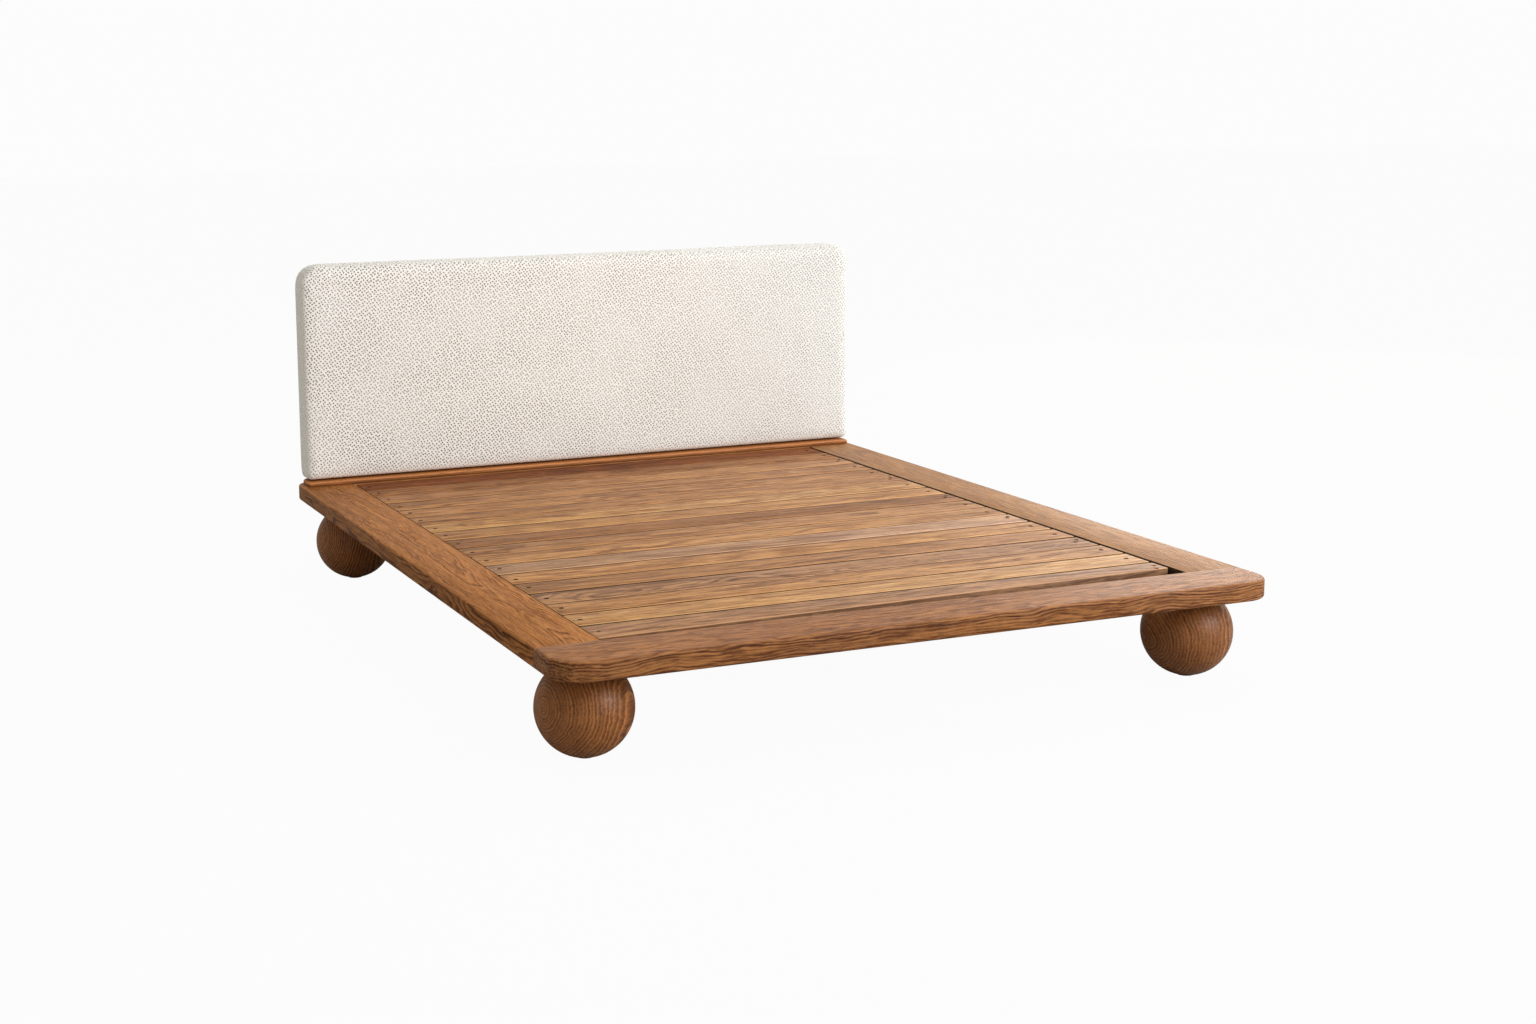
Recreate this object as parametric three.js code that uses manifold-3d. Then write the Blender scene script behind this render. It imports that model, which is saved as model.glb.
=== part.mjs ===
// Low platform bed with a slatted deck, four ball feet and an upholstered headboard.
// Millimetres. X runs across the bed, +Y towards the headboard, Z up from the floor.
// The origin lies on the floor under the middle of the platform.
import * as THREE from "three";
import { mergeVertices } from "three/addons/utils/BufferGeometryUtils.js";
import Module from "manifold-3d";

const wasm = await Module();
wasm.setup();

// ---- Driving dimensions ----
const GAP = 0.3; // air between touching pieces
const WIDTH = 1848;
const LENGTH = 2284;
const THICKNESS = 48; // of the four rails
const UNDERSIDE = 218; // height of the rails' lower face above the floor
const TOP = UNDERSIDE + THICKNESS;
const RAIL_WIDTH = 154; // foot rail and side rails
const HEAD_RAIL_WIDTH = 105;
const FOOT_CORNER_RADIUS = 80;
const HEAD_CORNER_RADIUS = 40;
const EDGE_ROUND = 7; // rounding of the platform's outer edges

const SLAT_COUNT = 18;
const SLAT_THICKNESS = 20;
const SLAT_GAP = 7;
const SLAT_FOOT_GAP = 26; // open gap between the foot rail and the line the slats are set out from
const FIRST_SLAT_TAPER = [-10, 34]; // the first slat's front edge from that line, at its left and right ends
const SLAT_LEFT_GAP = 2;
const SLAT_RIGHT_GAP = 9;
const SLAT_EASE = 1.5; // chamfer along the slats' edges

const LEDGER_FLANGE = 36;
const LEDGER_STEEL = 3;
const LEDGER_LIFT = 2; // above the rails' lower face

const BEAM_WIDTH = 60;
const BEAM_HEIGHT = 55;
const BEAM_EASE = 3;
const HANGER_STEEL = 3;
const HANGER_SEAT = 45;
const HANGER_WIDTH = 124;
const HANGER_CHEEK_DROP = 12; // below the beam's upper face
const HANGER_SCREW_HEIGHT = 10; // above the rails' lower face

const LEG_SIDE = 60;
const LEG_OFFSET = 400; // of the two centre legs from mid-length
const LEG_BOTTOM = 22;
const LEG_CORNER = 5;
const LEG_EASE = 2;
const LEVELLER_DISC = { radius: 21, height: 8, ease: 2, shoulder: 3, dome: 7 };
const LEVELLER_STUD = { radius: 6, top: 62, ease: 2 };
const LEVELLER_TRAVEL = 12;
const LEVELLER_HEADROOM = 6; // above the stud at the end of its travel

const BALL_RADIUS = 112;
const BALL_INSET_SIDE = 127; // from the platform's long edges
const BALL_INSET_END = 184; // from its foot and head edges
const GLIDE = { radius: 21, height: 2.4 };
const STUD = { radius: 6, bottom: 148, top: 250 };
const FOOT_PLATE = { x: 104, y: 168, thickness: 5, corner: 14, outward: 31 };
const PLATE_HOLE = { radius: 2.8, inset: 14 };

const LEDGE = { half: 911, thickness: 14, overhang: 12, edge: 5, corner: 9 };
const PAD = { half: 914, thickness: 88, top: 927, back: 1137, edge: 20 };
const PAD_TOP_CORNER = 50;
const PAD_BOTTOM_CORNER = 22;
const CORE = { margin: 30, thickness: 27.4, ease: 3, corner: 4 };
const BACK_COVER = { thickness: 1, margin: 8, corner: 6 };
const STRAP = { x: 600, width: 50, bottom: 228, top: 480, corner: 8 };
const STRAP_HOLE = { radius: 4.5, heights: [244, 354, 412, 464] };

// ---- Fineness of curves ----
const RIM_STEPS = 3;
const CORNER_STEPS = 6;
const SMALL_CORNER_STEPS = 3;
const HOLE_SIDES = 8;
const POST_SIDES = 16;
const DISC_SIDES = 20;
const BALL_SIDES = 28;
const BALL_STEPS = 14;
const OVERCUT = 1; // how far a cutting tool reaches past the face it cuts

// ---- Materials ----
const finish = (color, roughness, metalness = 0) =>
  new THREE.MeshStandardMaterial({ color, roughness, metalness });
const oak = finish(0x9a6842, 0.55);
const slatOak = finish(0xa9774c, 0.6);
const turnedOak = finish(0x8d5c38, 0.5);
const pine = finish(0xc9a878, 0.7);
const plywood = finish(0xc4a67c, 0.75);
const upholstery = finish(0xe2dbcf, 0.95);
const blackCloth = finish(0x1c1c1c, 0.95);
const blackSteel = finish(0x151515, 0.5, 0.6);
const zincSteel = finish(0xa8abae, 0.35, 1);
const felt = finish(0x3b3632, 1);

// ---- Solid helpers ----
function solid(geometry) {
  const plain = geometry.clone();
  for (const name of Object.keys(plain.attributes)) {
    if (name !== "position") plain.deleteAttribute(name);
  }
  const merged = mergeVertices(plain, 1e-4);
  return new wasm.Manifold(
    new wasm.Mesh({
      numProp: 3,
      vertProperties: merged.attributes.position.array,
      triVerts: new Uint32Array(merged.index.array),
    }),
  );
}

function geometryOf(manifold) {
  const { vertProperties, triVerts } = manifold.getMesh();
  const geometry = new THREE.BufferGeometry();
  geometry.setAttribute("position", new THREE.BufferAttribute(new Float32Array(vertProperties), 3));
  geometry.setIndex(new THREE.BufferAttribute(new Uint32Array(triVerts), 1));
  const flat = geometry.toNonIndexed();
  flat.computeVertexNormals();
  return flat;
}

// Box between two corners.
function block([x0, y0, z0], [x1, y1, z1]) {
  return new THREE.BoxGeometry(x1 - x0, y1 - y0, z1 - z0)
    .translate((x0 + x1) / 2, (y0 + y1) / 2, (z0 + z1) / 2);
}

// Upright cylinder between two heights.
function post(x, y, z0, z1, radius, sides = POST_SIDES) {
  return new THREE.CylinderGeometry(radius, radius, z1 - z0, sides)
    .rotateX(Math.PI / 2)
    .translate(x, y, (z0 + z1) / 2);
}

// Cylinder along Y between two places.
function crossPin(x, z, y0, y1, radius, sides = HOLE_SIDES) {
  return new THREE.CylinderGeometry(radius, radius, y1 - y0, sides).translate(x, (y0 + y1) / 2, z);
}

// Rectangle outline with a radius at each corner, in the order low-low, high-low, high-high, low-high.
function roundedOutline([u0, v0], [u1, v1], [a, b, c, d]) {
  const shape = new THREE.Shape();
  const right = Math.PI / 2;
  shape.moveTo(u0 + a, v0);
  shape.lineTo(u1 - b, v0);
  shape.absarc(u1 - b, v0 + b, b, -right, 0);
  shape.lineTo(u1, v1 - c);
  shape.absarc(u1 - c, v1 - c, c, 0, right);
  shape.lineTo(u0 + d, v1);
  shape.absarc(u0 + d, v1 - d, d, right, 2 * right);
  shape.lineTo(u0, v0 + a);
  shape.absarc(u0 + a, v0 + a, a, 2 * right, 3 * right);
  return shape;
}

// Outline extruded from z0 to z1 with both rims rounded inside the outline.
function slab(outline, z0, z1, edge = 0, steps = RIM_STEPS, curveSegments = CORNER_STEPS) {
  return new THREE.ExtrudeGeometry(outline, {
    depth: z1 - z0 - 2 * edge,
    bevelEnabled: edge > 0,
    bevelThickness: edge,
    bevelSize: edge,
    bevelOffset: -edge,
    bevelSegments: steps,
    curveSegments,
  }).translate(0, 0, z0 + edge);
}

// Closed section [y, z] extruded along X.
function sectionAlongX(points, x0, x1) {
  const section = new THREE.Shape(points.map(([y, z]) => new THREE.Vector2(y, z)));
  const bar = new THREE.ExtrudeGeometry(section, { depth: x1 - x0, bevelEnabled: false });
  return bar.applyMatrix4(new THREE.Matrix4().set(0, 0, 1, x0, 1, 0, 0, 0, 0, 1, 0, 0, 0, 0, 0, 1));
}

// Closed section [x, z] extruded along Y.
function sectionAlongY(points, y0, y1) {
  const section = new THREE.Shape(points.map(([x, z]) => new THREE.Vector2(x, z)));
  const bar = new THREE.ExtrudeGeometry(section, { depth: y1 - y0, bevelEnabled: false });
  return bar.rotateX(Math.PI / 2).translate(0, y1, 0);
}

// Bar along X with its front side moved in Y by one amount at each end.
function taperFront(bar, [atStart, atEnd]) {
  bar.computeBoundingBox();
  const { min, max } = bar.boundingBox;
  const middle = (min.y + max.y) / 2;
  const place = bar.attributes.position;
  for (let i = 0; i < place.count; i++) {
    if (place.getY(i) > middle) continue;
    const along = (place.getX(i) - min.x) / (max.x - min.x);
    place.setY(i, place.getY(i) + THREE.MathUtils.lerp(atStart, atEnd, along));
  }
  bar.computeVertexNormals();
  return bar;
}

// Rectangle [u0, w0]-[u1, w1] with its four corners cut.
function easedRectangle([u0, w0], [u1, w1], c) {
  return [
    [u0 + c, w0],
    [u1 - c, w0],
    [u1, w0 + c],
    [u1, w1 - c],
    [u1 - c, w1],
    [u0 + c, w1],
    [u0, w1 - c],
    [u0, w0 + c],
  ];
}

// Lathe of [radius, height] points about an upright axis.
function lathe(profile, x, y, sides) {
  const points = profile.map(([r, z]) => new THREE.Vector2(r, z));
  return new THREE.LatheGeometry(points, sides).rotateX(Math.PI / 2).translate(x, y, 0);
}

const cut = (geometry, ...tools) =>
  tools.reduce((whole, tool) => whole.subtract(solid(tool)), solid(geometry));
const joinAll = (first, ...others) =>
  others.reduce((whole, piece) => whole.add(solid(piece)), solid(first));

const bed = new THREE.Group();

function add(name, geometry, material) {
  const mesh = new THREE.Mesh(geometry, material);
  mesh.name = name;
  bed.add(mesh);
}

// ---- Places worked out from the driving dimensions ----
const halfWidth = WIDTH / 2;
const halfLength = LENGTH / 2;
const openingX = halfWidth - RAIL_WIDTH;
const footRailInner = -halfLength + RAIL_WIDTH;
const headRailInner = halfLength - HEAD_RAIL_WIDTH;
const slatBottom = TOP - SLAT_THICKNESS;
const ledgerTop = slatBottom - GAP;
const beamTop = slatBottom - GAP;
const beamBottom = beamTop - BEAM_HEIGHT;
const ballX = halfWidth - BALL_INSET_SIDE;
const ballY = halfLength - BALL_INSET_END;
const corners = [
  { end: "front", side: "left", x: -ballX, y: -ballY },
  { end: "front", side: "right", x: ballX, y: -ballY },
  { end: "rear", side: "left", x: -ballX, y: ballY },
  { end: "rear", side: "right", x: ballX, y: ballY },
];
const legs = [
  { end: "front", y: -LEG_OFFSET },
  { end: "rear", y: LEG_OFFSET },
];
const plateTop = UNDERSIDE + FOOT_PLATE.thickness;

// ---- Platform rails, cut from one rounded slab so that their outer faces run through ----
const platformOutline = roundedOutline(
  [-halfWidth, -halfLength],
  [halfWidth, halfLength],
  [FOOT_CORNER_RADIUS, FOOT_CORNER_RADIUS, HEAD_CORNER_RADIUS, HEAD_CORNER_RADIUS],
);
const platform = solid(slab(platformOutline, UNDERSIDE, TOP, EDGE_ROUND));

function footPlateOutline({ x, y }, grow) {
  const u = FOOT_PLATE.x / 2 + grow;
  const v = FOOT_PLATE.y / 2 + grow;
  const r = FOOT_PLATE.corner + grow;
  return roundedOutline([x - u, y - v], [x + u, y + v], [r, r, r, r]);
}

// The plates sit in shallow pockets in the rails' lower faces, and each stud has a blind hole above its plate.
const plateCentre = ({ x, y }) => ({ x: x + Math.sign(x) * FOOT_PLATE.outward, y });
const pockets = corners.map((corner) => {
  const outline = footPlateOutline(plateCentre(corner), GAP);
  const recess = slab(outline, UNDERSIDE - OVERCUT, plateTop + GAP, 0, 1, SMALL_CORNER_STEPS);
  const hole = post(corner.x, corner.y, UNDERSIDE - OVERCUT, STUD.top + GAP, STUD.radius + GAP);
  return joinAll(recess, hole);
});

const strapPockets = [-STRAP.x, STRAP.x].map((x) =>
  solid(
    block(
      [x - STRAP.width / 2 - GAP, PAD.back, STRAP.bottom - GAP],
      [x + STRAP.width / 2 + GAP, halfLength + OVERCUT, TOP + OVERCUT],
    ),
  ),
);

function rail(name, low, high) {
  const stock = solid(block([...low, UNDERSIDE - OVERCUT], [...high, TOP + OVERCUT]));
  const cuts = [...pockets, ...strapPockets];
  const board = cuts.reduce((whole, tool) => whole.subtract(tool), platform.intersect(stock));
  add(name, geometryOf(board), oak);
}

const outsideX = halfWidth + OVERCUT;
const outsideY = halfLength + OVERCUT;
rail("foot_rail", [-outsideX, -outsideY], [outsideX, footRailInner]);
rail("head_rail", [-outsideX, headRailInner], [outsideX, outsideY]);
rail("side_rail_left", [-outsideX, footRailInner + GAP], [-openingX, headRailInner - GAP]);
rail("side_rail_right", [openingX, footRailInner + GAP], [outsideX, headRailInner - GAP]);

// ---- Slats ----
const slatStart = footRailInner + SLAT_FOOT_GAP;
const slatPitch = (headRailInner - slatStart) / SLAT_COUNT;
const slatWidth = slatPitch - SLAT_GAP;
for (let i = 0; i < SLAT_COUNT; i++) {
  const y = slatStart + i * slatPitch;
  const section = easedRectangle([y, slatBottom], [y + slatWidth, TOP], SLAT_EASE);
  const name = `slat_${String(i + 1).padStart(2, "0")}`;
  const bar = sectionAlongX(section, -openingX + SLAT_LEFT_GAP, openingX - SLAT_RIGHT_GAP);
  add(name, i === 0 ? taperFront(bar, FIRST_SLAT_TAPER) : bar, slatOak);
}

// ---- Steel angles along the side rails that carry the slats' ends ----
for (const [side, sign] of [
  ["left", -1],
  ["right", 1],
]) {
  const wall = openingX - GAP;
  const inner = wall - LEDGER_STEEL;
  const foot = UNDERSIDE + LEDGER_LIFT;
  const angle = [
    [wall, foot],
    [wall, ledgerTop],
    [wall - LEDGER_FLANGE, ledgerTop],
    [wall - LEDGER_FLANGE, ledgerTop - LEDGER_STEEL],
    [inner, ledgerTop - LEDGER_STEEL],
    [inner, foot],
  ].map(([x, z]) => [sign * x, z]);
  const steel = sectionAlongY(angle, footRailInner + GAP, headRailInner - GAP);
  add(`slat_ledger_${side}`, steel, blackSteel);
}

// ---- Centre beam in its two hangers ----
const beamHalf = BEAM_WIDTH / 2;
add(
  "centre_beam",
  sectionAlongY(
    easedRectangle([-beamHalf, beamBottom], [beamHalf, beamTop], BEAM_EASE),
    footRailInner + HANGER_STEEL + 2 * GAP,
    headRailInner - HANGER_STEEL - 2 * GAP,
  ),
  pine,
);

function hanger(name, wallY, inward) {
  const cheek = beamHalf + GAP + HANGER_STEEL;
  const seatTop = beamBottom - GAP;
  const seatBottom = seatTop - HANGER_STEEL;
  const cheekTop = beamTop - HANGER_CHEEK_DROP;
  const y = (distance) => wallY + inward * (GAP + distance);
  const span = (x0, x1, d0, d1, z0, z1) =>
    block([x0, Math.min(y(d0), y(d1)), z0], [x1, Math.max(y(d0), y(d1)), z1]);
  const flangeHalf = HANGER_WIDTH / 2;
  const steel = joinAll(
    span(-flangeHalf, flangeHalf, 0, HANGER_STEEL, seatBottom, cheekTop),
    span(-cheek, cheek, 0, HANGER_SEAT, seatBottom, seatTop),
    span(-cheek, -cheek + HANGER_STEEL, 0, HANGER_SEAT, seatBottom, cheekTop),
    span(cheek - HANGER_STEEL, cheek, 0, HANGER_SEAT, seatBottom, cheekTop),
  );
  const reach = HANGER_STEEL + GAP + OVERCUT;
  const screwHoles = [-1, 1].map((side) =>
    solid(
      crossPin(
        (side * (cheek + flangeHalf)) / 2,
        UNDERSIDE + HANGER_SCREW_HEIGHT,
        wallY - reach,
        wallY + reach,
        PLATE_HOLE.radius,
      ),
    ),
  );
  add(name, geometryOf(screwHoles.reduce((whole, hole) => whole.subtract(hole), steel)), blackSteel);
}
hanger("beam_hanger_foot", footRailInner, 1);
hanger("beam_hanger_head", headRailInner, -1);

// ---- Centre legs with screw-in levellers ----
for (const { end, y } of legs) {
  const half = LEG_SIDE / 2;
  const outline = roundedOutline([-half, y - half], [half, y + half], Array(4).fill(LEG_CORNER));
  const body = slab(outline, LEG_BOTTOM, beamBottom - GAP, LEG_EASE, 1, 2);
  const boreTop = LEVELLER_STUD.top + LEVELLER_TRAVEL + LEVELLER_HEADROOM;
  const bore = post(0, y, LEG_BOTTOM - OVERCUT, boreTop, LEVELLER_STUD.radius + GAP);
  add(`centre_leg_${end}`, geometryOf(cut(body, bore)), pine);

  const { radius, height, ease, shoulder, dome } = LEVELLER_DISC;
  const stud = LEVELLER_STUD;
  const profile = [
    [0, 0],
    [radius - ease, 0],
    [radius, ease],
    [radius, height - shoulder],
    [radius - dome, height],
    [stud.radius, height],
    [stud.radius, stud.top - stud.ease],
    [stud.radius - stud.ease, stud.top],
    [0, stud.top],
  ];
  add(`leveller_${end}`, lathe(profile, 0, y, DISC_SIDES), zincSteel);
}

// ---- Ball feet, each screwed up to a steel plate by a threaded stud ----
function ballProfile() {
  const flatTop = UNDERSIDE - GAP;
  const flatBottom = GLIDE.height + GAP;
  const from = Math.asin((flatBottom - BALL_RADIUS) / BALL_RADIUS);
  const to = Math.asin((flatTop - BALL_RADIUS) / BALL_RADIUS);
  const arc = Array.from({ length: BALL_STEPS + 1 }, (_, i) => {
    const angle = from + ((to - from) * i) / BALL_STEPS;
    return [BALL_RADIUS * Math.cos(angle), BALL_RADIUS + BALL_RADIUS * Math.sin(angle)];
  });
  const bore = STUD.radius + GAP;
  const boreBottom = STUD.bottom - GAP;
  return [[0, flatBottom], ...arc, [bore, flatTop], [bore, boreBottom], [0, boreBottom]];
}

for (const corner of corners) {
  const { end, side, x, y } = corner;
  const place = `${end}_${side}`;
  add(`ball_foot_${place}`, lathe(ballProfile(), x, y, BALL_SIDES), turnedOak);

  const centre = plateCentre(corner);
  const outline = footPlateOutline(centre, 0);
  const plate = slab(outline, UNDERSIDE + GAP, plateTop, 0, 1, SMALL_CORNER_STEPS);
  const low = UNDERSIDE - OVERCUT;
  const high = plateTop + OVERCUT;
  const reachX = FOOT_PLATE.x / 2 - PLATE_HOLE.inset;
  const reachY = FOOT_PLATE.y / 2 - PLATE_HOLE.inset;
  const screwHoles = [-1, 1].flatMap((u) =>
    [-1, 1].map((v) =>
      post(centre.x + u * reachX, centre.y + v * reachY, low, high, PLATE_HOLE.radius, HOLE_SIDES),
    ),
  );
  const studHole = post(x, y, low, high, STUD.radius + GAP);
  add(`foot_plate_${place}`, geometryOf(cut(plate, studHole, ...screwHoles)), zincSteel);
  add(`foot_stud_${place}`, post(x, y, STUD.bottom, STUD.top, STUD.radius), zincSteel);
  add(`foot_glide_${place}`, post(x, y, 0, GLIDE.height, GLIDE.radius, DISC_SIDES), felt);
}

// ---- Headboard: ledge, core panel, pad, back cover and the two steel straps that hold it ----
const padFront = PAD.back - PAD.thickness;
const ledgeTop = TOP + LEDGE.thickness;
const ledgeOutline = roundedOutline(
  [-LEDGE.half, padFront - LEDGE.overhang],
  [LEDGE.half, PAD.back - GAP],
  [LEDGE.corner, LEDGE.corner, HEAD_CORNER_RADIUS, HEAD_CORNER_RADIUS],
);
add("headboard_ledge", slab(ledgeOutline, TOP + GAP, ledgeTop, LEDGE.edge), oak);

// Solids drawn in the XZ plane and given a thickness from y0 to y1.
const upright = (outline, y0, y1, edge = 0, steps = 1, curveSegments = SMALL_CORNER_STEPS) =>
  slab(outline, -y1, -y0, edge, steps, curveSegments).rotateX(Math.PI / 2);

const padBottom = ledgeTop + GAP;
const padOutline = roundedOutline(
  [-PAD.half, padBottom],
  [PAD.half, PAD.top],
  [PAD_BOTTOM_CORNER, PAD_BOTTOM_CORNER, PAD_TOP_CORNER, PAD_TOP_CORNER],
);
const coreLow = [-PAD.half + CORE.margin, padBottom + CORE.margin];
const coreHigh = [PAD.half - CORE.margin, PAD.top - CORE.margin];
const coreBack = PAD.back - BACK_COVER.thickness - 2 * GAP;
const coreFront = coreBack - CORE.thickness;
const pocket = block(
  [coreLow[0] - GAP, coreFront - GAP, coreLow[1] - GAP],
  [coreHigh[0] + GAP, PAD.back + OVERCUT, coreHigh[1] + GAP],
);
const foam = upright(padOutline, padFront, PAD.back, PAD.edge, RIM_STEPS + 1, CORNER_STEPS);
add("headboard_pad", geometryOf(cut(foam, pocket)), upholstery);

const coreOutline = roundedOutline(coreLow, coreHigh, Array(4).fill(CORE.corner));
add("headboard_core", upright(coreOutline, coreFront, coreBack, CORE.ease), plywood);

const coverOutline = roundedOutline(
  coreLow.map((v) => v + BACK_COVER.margin),
  coreHigh.map((v) => v - BACK_COVER.margin),
  Array(4).fill(BACK_COVER.corner),
);
add("headboard_back_cover", upright(coverOutline, coreBack + GAP, PAD.back - GAP), blackCloth);

for (const [side, x] of [
  ["left", -STRAP.x],
  ["right", STRAP.x],
]) {
  const half = STRAP.width / 2;
  const outline = roundedOutline(
    [x - half, STRAP.bottom],
    [x + half, STRAP.top],
    Array(4).fill(STRAP.corner),
  );
  const flat = upright(outline, PAD.back + GAP, halfLength);
  const holes = STRAP_HOLE.heights.map((z) =>
    crossPin(x, z, PAD.back - OVERCUT, halfLength + OVERCUT, STRAP_HOLE.radius),
  );
  add(`headboard_strap_${side}`, geometryOf(cut(flat, ...holes)), blackSteel);
}

export default bed;
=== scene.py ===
"""Looks of the platform bed: oak frame and slats, ball feet, upholstered headboard.

Metres, in the CAD frame: X across the bed, +Y to the headboard, Z up, origin on the floor.
"""

import math
import random

import bmesh
import bpy
from mathutils import Matrix, Vector, noise


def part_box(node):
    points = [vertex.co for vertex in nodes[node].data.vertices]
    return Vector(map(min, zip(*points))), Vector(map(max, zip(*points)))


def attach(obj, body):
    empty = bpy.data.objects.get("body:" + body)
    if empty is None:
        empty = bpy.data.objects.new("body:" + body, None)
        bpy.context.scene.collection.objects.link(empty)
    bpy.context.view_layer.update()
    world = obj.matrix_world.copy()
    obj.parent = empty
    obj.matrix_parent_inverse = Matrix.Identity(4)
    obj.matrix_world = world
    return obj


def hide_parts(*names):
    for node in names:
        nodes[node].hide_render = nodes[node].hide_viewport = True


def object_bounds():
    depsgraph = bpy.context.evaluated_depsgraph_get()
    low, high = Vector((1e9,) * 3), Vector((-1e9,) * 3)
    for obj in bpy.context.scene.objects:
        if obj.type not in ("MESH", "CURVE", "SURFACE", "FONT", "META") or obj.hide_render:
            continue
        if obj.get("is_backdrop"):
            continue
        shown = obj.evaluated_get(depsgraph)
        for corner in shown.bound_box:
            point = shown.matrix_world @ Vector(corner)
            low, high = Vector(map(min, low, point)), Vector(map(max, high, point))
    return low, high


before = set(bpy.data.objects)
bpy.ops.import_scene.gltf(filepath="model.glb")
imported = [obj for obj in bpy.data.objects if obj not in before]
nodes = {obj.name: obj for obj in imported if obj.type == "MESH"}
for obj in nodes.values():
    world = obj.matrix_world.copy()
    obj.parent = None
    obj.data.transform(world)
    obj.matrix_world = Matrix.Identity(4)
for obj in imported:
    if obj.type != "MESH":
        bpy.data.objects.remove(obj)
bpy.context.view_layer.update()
random.seed(11)

# ---------------------------------------------------------------- camera
CAMERA_PLACE = (-2.4359, -5.2642, 1.4732)
CAMERA_YAW, CAMERA_PITCH, CAMERA_ROLL = -0.3962, 1.4142, -0.0093
CAMERA_LENS, CAMERA_SENSOR = 50.914, 36.0
CAMERA_SHIFT = (0.0768, -0.0599)

camera_data = bpy.data.cameras.new("camera")
camera_data.sensor_width = CAMERA_SENSOR
camera_data.lens = CAMERA_LENS
camera_data.shift_x, camera_data.shift_y = CAMERA_SHIFT
camera_data.clip_end = 60.0
camera = bpy.data.objects.new("camera", camera_data)
camera.matrix_world = (
    Matrix.Translation(CAMERA_PLACE)
    @ Matrix.Rotation(CAMERA_YAW, 4, "Z")
    @ Matrix.Rotation(CAMERA_PITCH, 4, "X")
    @ Matrix.Rotation(CAMERA_ROLL, 4, "Z")
)
bpy.context.scene.collection.objects.link(camera)
bpy.context.scene.camera = camera
bpy.context.scene.view_settings.view_transform = "Standard"
bpy.context.scene.cycles.denoising_prefilter = "NONE"


# ---------------------------------------------------------------- shader graph helper
def srgb(r, g, b):
    """Linear colour of an 8-bit sRGB one."""
    def linear(v):
        v /= 255.0
        return v / 12.92 if v <= 0.04045 else ((v + 0.055) / 1.055) ** 2.4
    return (linear(r), linear(g), linear(b), 1.0)


class Graph:
    """A node tree with short calls for the nodes used here."""

    def __init__(self, tree):
        self.tree = tree
        tree.nodes.clear()

    def node(self, kind, inputs=(), **settings):
        made = self.tree.nodes.new(kind)
        for key, value in settings.items():
            setattr(made, key, value)
        for key, value in dict(inputs).items():
            self.feed(made.inputs[key], value)
        return made

    def feed(self, socket, value):
        if isinstance(value, bpy.types.NodeSocket):
            self.tree.links.new(value, socket)
        elif value is not None:
            socket.default_value = value

    def math(self, op, a, b=None, clamp=False):
        made = self.tree.nodes.new("ShaderNodeMath")
        made.operation = op
        made.use_clamp = clamp
        self.feed(made.inputs[0], a)
        self.feed(made.inputs[1], b)
        return made.outputs[0]

    def add(self, a, b):
        return self.math("ADD", a, b)

    def sub(self, a, b):
        return self.math("SUBTRACT", a, b)

    def mul(self, a, b):
        return self.math("MULTIPLY", a, b)

    def vector(self, op, a, b=None):
        made = self.tree.nodes.new("ShaderNodeVectorMath")
        made.operation = op
        self.feed(made.inputs[0], a)
        self.feed(made.inputs[1], b)
        return made.outputs["Value"] if op in ("DOT_PRODUCT", "LENGTH") else made.outputs[0]

    def combine(self, x, y, z):
        return self.node("ShaderNodeCombineXYZ", {0: x, 1: y, 2: z}).outputs[0]

    def parts(self, v):
        return self.node("ShaderNodeSeparateXYZ", {0: v}).outputs

    def smooth(self, value, low, high, to_low=0.0, to_high=1.0):
        made = self.node("ShaderNodeMapRange", interpolation_type="SMOOTHSTEP")
        for key, v in zip(("Value", "From Min", "From Max", "To Min", "To Max"),
                          (value, low, high, to_low, to_high)):
            self.feed(made.inputs[key], v)
        return made.outputs["Result"]

    def noise(self, where, scale=1.0, detail=2.0, rough=0.5, output="Fac"):
        made = self.node("ShaderNodeTexNoise", {"Vector": where, "Scale": scale,
                                                "Detail": detail, "Roughness": rough})
        return made.outputs[output]

    def mix(self, factor, a, b, blend="MIX"):
        made = self.node("ShaderNodeMix", data_type="RGBA", blend_type=blend)
        self.feed(made.inputs[0], factor)
        self.feed(made.inputs[6], a)
        self.feed(made.inputs[7], b)
        return made.outputs[2]

    def place(self):
        return self.node("ShaderNodeTexCoord").outputs["Object"]

    def normal(self):
        return self.node("ShaderNodeNewGeometry").outputs["Normal"]

    def bump(self, height, distance, strength=1.0):
        return self.node("ShaderNodeBump", {"Height": height, "Distance": distance,
                                            "Strength": strength}).outputs[0]

    def tinted(self, colour, by):
        return self.mix(1.0, colour, by, "MULTIPLY")

    def blend_shaders(self, factor, a, b):
        made = self.node("ShaderNodeMixShader")
        for socket, value in zip(made.inputs, (factor, a, b)):
            self.tree.links.new(value, socket)
        return made.outputs[0]

    def surface(self, **inputs):
        shader = self.node("ShaderNodeBsdfPrincipled")
        for key, value in inputs.items():
            self.feed(shader.inputs[key.replace("_", " ")], value)
        out = self.node("ShaderNodeOutputMaterial")
        self.tree.links.new(shader.outputs[0], out.inputs[0])
        return shader


def new_material(name):
    material = bpy.data.materials.new(name)
    material.use_nodes = True
    return material, Graph(material.node_tree)


def brighter(colour, by):
    """The colour times a number, which may also be below 1."""
    return tuple(min(1.0, by * c) for c in colour[:3]) + (1.0,)


# ---------------------------------------------------------------- wood
SHADOW = (0.016, 0.007, 0.003, 1.0)
GOLDEN, ROSY = (1.05, 1.0, 0.86, 1.0), (0.95, 0.96, 1.10, 1.0)


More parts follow.
